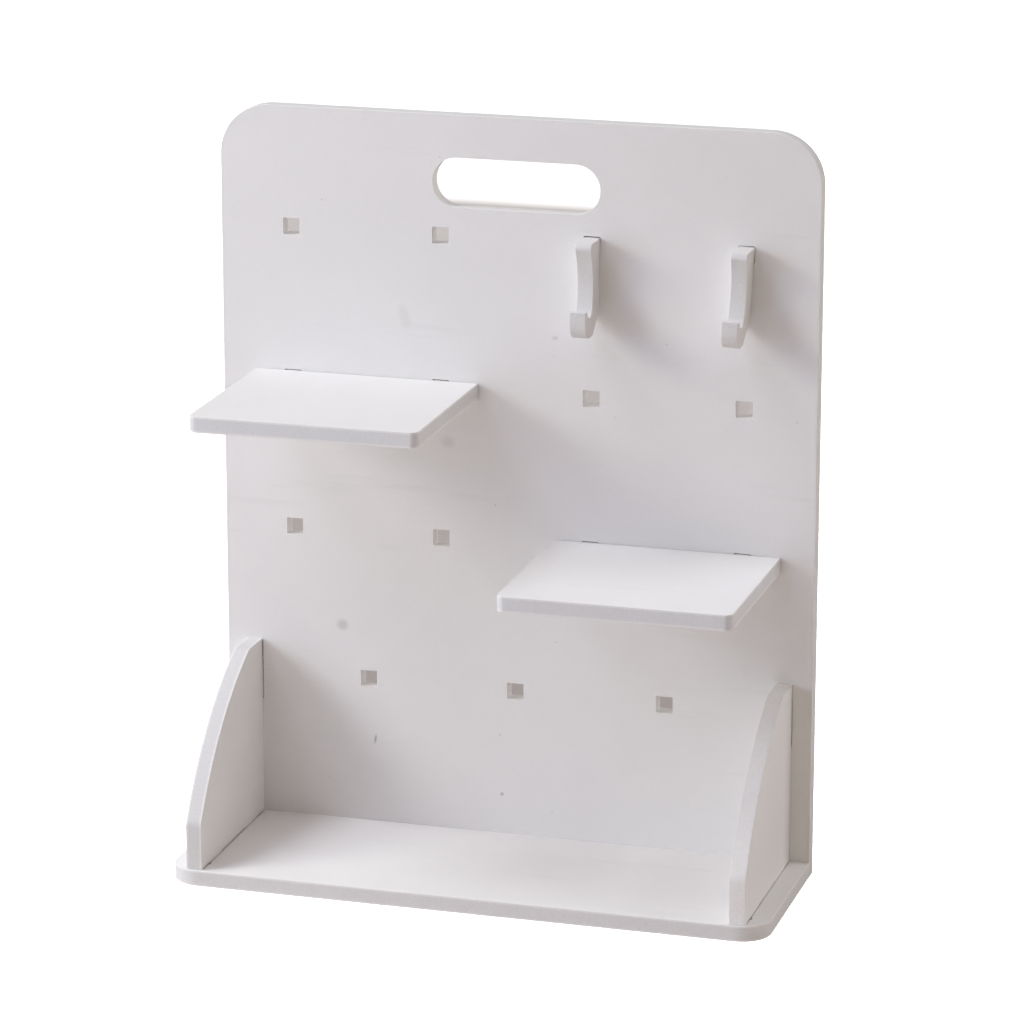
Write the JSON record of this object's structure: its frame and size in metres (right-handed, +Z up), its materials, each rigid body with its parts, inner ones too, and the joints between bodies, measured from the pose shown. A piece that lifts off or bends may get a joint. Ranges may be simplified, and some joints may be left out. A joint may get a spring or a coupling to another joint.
{
  "type": "pegboard desk organizer",
  "caption": "Free-standing desk organizer cut from flat white board: an upright panel with square peg holes and a carrying slot, a tray at its foot, and loose shelves and hooks.",
  "frame": {"origin": "centre of the base board's underside", "axes": "+X along the panel to the right as seen from the front, +Y towards the back of the panel, +Z up"},
  "size_m": [0.3, 0.1079, 0.37],
  "materials": {
    "white_board": "matte"
  },
  "bodies": {
    "tray_frame": {"back_panel": "white_board", "base_board": "white_board", "left_side_panel": "white_board", "right_side_panel": "white_board"},
    "upper_shelf": {"upper_shelf": "white_board"},
    "lower_shelf": {"lower_shelf": "white_board"},
    "left_hook": {"left_hook": "white_board"},
    "right_hook": {"right_hook": "white_board"}
  },
  "joints": [
    {"name": "upper_shelf_pull_out", "type": "slide", "parent": "tray_frame", "child": "upper_shelf", "axis": [0, -1, 0], "range_m": [0, 0.03]},
    {"name": "lower_shelf_pull_out", "type": "slide", "parent": "tray_frame", "child": "lower_shelf", "axis": [0, -1, 0], "range_m": [0, 0.03]},
    {"name": "left_hook_pull_out", "type": "slide", "parent": "tray_frame", "child": "left_hook", "axis": [0, -1, 0], "range_m": [0, 0.03]},
    {"name": "right_hook_pull_out", "type": "slide", "parent": "tray_frame", "child": "right_hook", "axis": [0, -1, 0], "range_m": [0, 0.03]}
  ]
}
